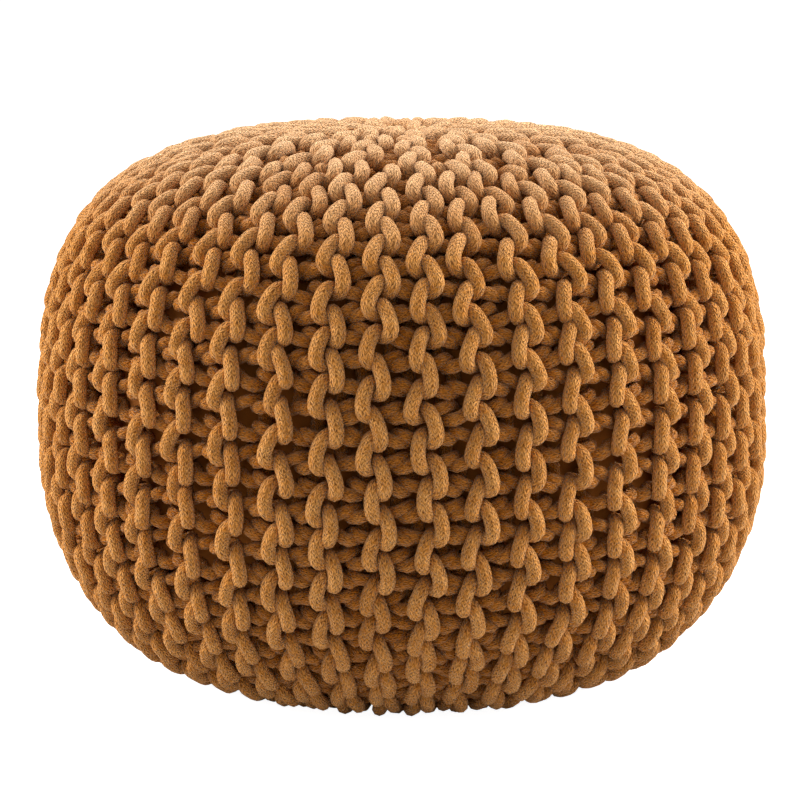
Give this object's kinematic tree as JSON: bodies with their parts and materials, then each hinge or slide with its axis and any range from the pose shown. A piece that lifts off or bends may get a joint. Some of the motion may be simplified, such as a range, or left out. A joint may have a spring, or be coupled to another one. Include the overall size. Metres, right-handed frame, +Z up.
{
  "type": "round knitted rope pouf",
  "caption": "Round floor pouf: a firm filled drum in a ridged cover knitted from thick caramel-brown cotton rope, used as a footstool or low seat.",
  "frame": {"origin": "middle of the flat underside, on the surface that the pouf rests on", "axes": "+Z up, through the gathered centre of the top; the side is the same all round"},
  "size_m": [0.499, 0.499, 0.3645],
  "materials": {
    "cotton_rope": "matt braided cotton rope, hand-knitted"
  },
  "bodies": {
    "root": {"pouf": "cotton_rope"}
  },
  "joints": []
}
